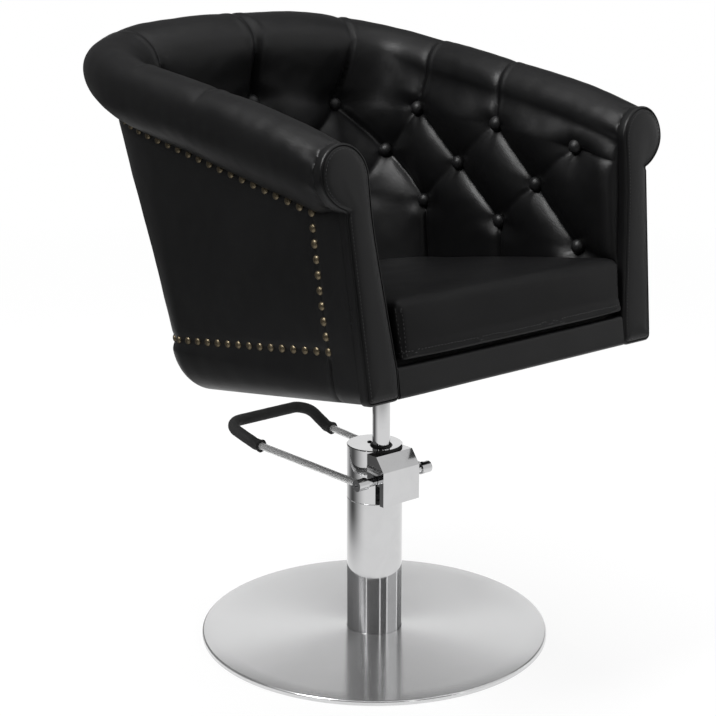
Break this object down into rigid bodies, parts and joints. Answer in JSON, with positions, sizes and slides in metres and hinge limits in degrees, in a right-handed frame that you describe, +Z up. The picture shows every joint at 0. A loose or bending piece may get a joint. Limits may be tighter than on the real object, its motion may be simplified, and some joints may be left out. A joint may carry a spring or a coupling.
{
  "type": "hydraulic styling chair",
  "caption": "Salon and barber chair with a button tufted tub seat, rolled arms, nailhead trim, a foot pumped chrome column that lifts and swivels, and a round disc base.",
  "frame": {"origin": "middle of the disc base, on the floor", "axes": "+Z up, the sitter faces -Y, +X to the sitter's left"},
  "size_m": [0.6726, 0.7504, 0.9716],
  "materials": {
    "leather": "soft satin black leather",
    "chrome": "bright chrome plate",
    "stainless": "fine brushed stainless sheet",
    "steel": "plain machined steel",
    "zinc": "zinc plated fastener",
    "rubber": "matt black rubber",
    "plywood": "bare plywood",
    "cloth": "black nonwoven lining cloth"
  },
  "bodies": {
    "base": {"floor_pad": "rubber", "base_plate": "steel", "base_cover": "stainless", "base_bolt_1": "steel", "base_bolt_2": "steel", "base_bolt_3": "steel", "base_bolt_4": "steel", "pump_foot": "steel", "column_tube": "chrome", "ram_cylinder": "steel", "pump_head": "chrome", "head_cover": "chrome", "rod_gland": "steel", "rod_wiper": "rubber"},
    "lever": {"lever_shaft": "chrome", "lever_tube": "chrome", "lever_grip": "rubber", "lever_collar_left": "chrome", "lever_collar_right": "chrome", "lever_screw_left": "steel", "lever_screw_right": "steel", "plunger_finger": "steel"},
    "plunger": {"pump_plunger": "steel"},
    "ram_carriage": {"ram_piston": "steel"},
    "seat": {"ram_rod": "chrome", "seat_hub": "steel", "seat_plate": "steel", "seat_bolt_1": "zinc", "seat_bolt_2": "zinc", "seat_bolt_3": "zinc", "seat_bolt_4": "zinc", "bottom_board": "plywood", "dust_cover": "cloth", "tub_frame": "plywood", "outer_panel": "leather", "lower_band": "leather", "top_roll": "leather", "inner_pad": "leather", "arm_front_left": "leather", "arm_front_right": "leather", "front_rail": "leather", "seat_deck": "cloth", "seat_cushion": "leather"}
  },
  "joints": [
    {"name": "lift", "type": "slide", "parent": "base", "child": "ram_carriage", "axis": [0, 0, 1], "range_m": [-0.12, 0.02]},
    {"name": "swivel", "type": "hinge", "parent": "ram_carriage", "child": "seat", "pos_m": [0, -0.016, 0.447], "axis": [0, 0, 1], "continuous": true},
    {"name": "pump_lever", "type": "hinge", "parent": "base", "child": "lever", "pos_m": [0, -0.0449, 0.275], "axis": [1, 0, 0], "range_deg": [-22, 0], "stiffness_Nm_per_rad": 12, "springref_deg": 22.92},
    {"name": "plunger_stroke", "type": "slide", "parent": "base", "child": "plunger", "axis": [0, 0, 1], "range_m": [0, 0.0053]}
  ],
  "couplings": [
    {"joint": "plunger_stroke", "follows": "pump_lever", "m_per_rad": -0.0134}
  ]
}
